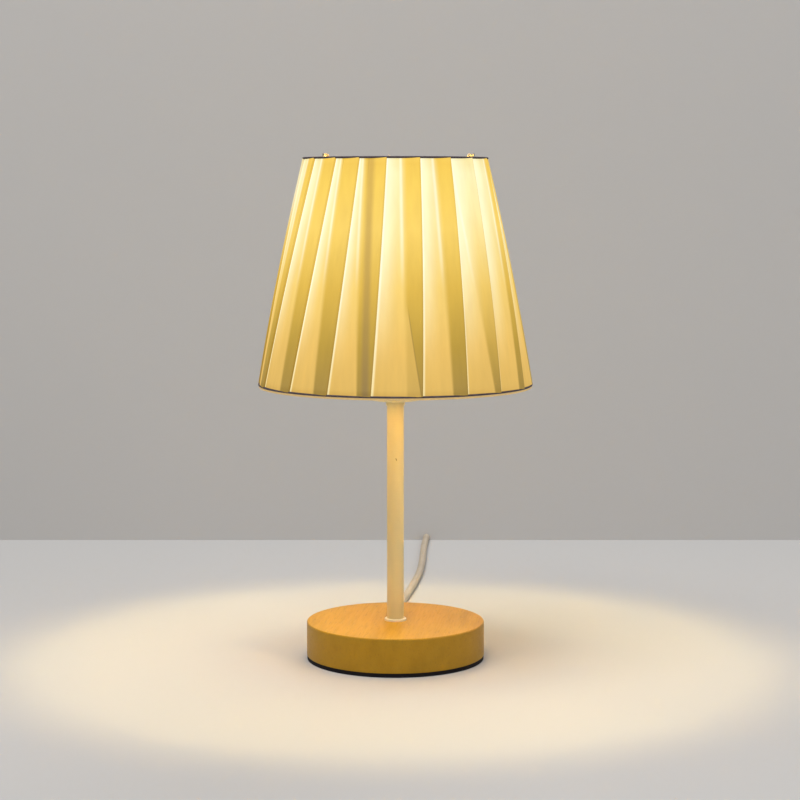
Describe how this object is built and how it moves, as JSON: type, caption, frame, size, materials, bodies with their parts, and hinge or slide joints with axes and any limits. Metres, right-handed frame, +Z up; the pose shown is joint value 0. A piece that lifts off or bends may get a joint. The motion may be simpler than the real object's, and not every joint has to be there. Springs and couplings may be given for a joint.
{
  "type": "table lamp",
  "caption": "Small bedside lamp: round wooden base, slim cream stem and a knife-pleated cloth empire shade, with a mains cord, in-line rocker switch and plug.",
  "frame": {"origin": "centre of the base pad's underside, where the lamp stands", "axes": "+Z up along the stem, -Y towards the viewer, the cord leaves towards +Y"},
  "size_m": [0.1651, 0.7307, 0.2982],
  "materials": {
    "wood": "oiled, fine grain",
    "pad": "matt foam rubber",
    "stem_cream": "satin cream",
    "ring_cream": "satin",
    "steel": "zinc plated",
    "arm_white": "white enamel",
    "holder_white": "moulded",
    "ceramic": "unglazed",
    "brass": "bare",
    "bulb_metal": "bright",
    "bulb_black": "vitrite",
    "bulb_board": "circuit board",
    "bulb_clear": "clear",
    "filament": "glowing phosphor",
    "shade_cloth": "pleated cream cloth, lit from inside",
    "shade_lining": "smooth white lining",
    "trim_grey": "narrow grosgrain",
    "cord_white": "satin soft plastic",
    "core_brown": "insulation",
    "core_blue": "insulation",
    "switch_white": "moulded",
    "tie_black": "soft tie",
    "pin_metal": "nickel plated"
  },
  "bodies": {
    "stand": {"base_block": "wood", "base_pad": "pad", "stem_tube": "stem_cream", "stem_foot_ring": "ring_cream", "stem_washer": "steel", "stem_nut": "steel", "holder_terminal_screws": "steel", "switch_screws": "steel", "stem_collar": "holder_white", "holder_cap": "holder_white", "holder_shell": "holder_white", "holder_core": "ceramic", "holder_screw_shell": "brass", "holder_centre_contact": "brass", "holder_terminals": "brass", "switch_contacts": "brass", "cord_entry": "cord_white", "cord_run": "cord_white", "cord_link": "cord_white", "cord_coil": "cord_white", "cord_tail": "cord_white", "cord_bush": "cord_white", "live_wire": "core_brown", "neutral_wire": "core_blue", "switch_cores": "core_blue", "switch_lower_shell": "switch_white", "switch_upper_shell": "switch_white", "plug_body": "switch_white", "coil_tie": "tie_black", "plug_pins": "pin_metal"},
    "shade": {"shade_top_ring": "steel", "shade_bottom_ring": "steel", "shade_arm_back": "arm_white", "shade_arm_right": "arm_white", "shade_arm_left": "arm_white", "shade_fitter_ring": "arm_white", "shade_retaining_ring": "holder_white", "shade_pleats": "shade_cloth", "shade_liner": "shade_lining", "shade_top_trim": "trim_grey", "shade_bottom_trim": "trim_grey"},
    "bulb": {"bulb_tip": "brass", "bulb_insulator": "bulb_black", "bulb_cap": "bulb_metal", "bulb_driver": "bulb_board", "bulb_glass": "bulb_clear", "bulb_mount": "bulb_clear", "bulb_filaments": "filament"},
    "rocker": {"switch_rocker": "switch_white"}
  },
  "joints": [
    {"name": "shade_lift", "type": "slide", "parent": "stand", "child": "shade", "axis": [0, 0, 1], "range_m": [0, 0.14]},
    {"name": "bulb_lift", "type": "slide", "parent": "stand", "child": "bulb", "axis": [0, 0, 1], "range_m": [0, 0.12]},
    {"name": "rocker_tilt", "type": "hinge", "parent": "stand", "child": "rocker", "pos_m": [0.0285, 0.515, 0.0115], "axis": [1, 0, 0], "range_deg": [0, 16]}
  ]
}
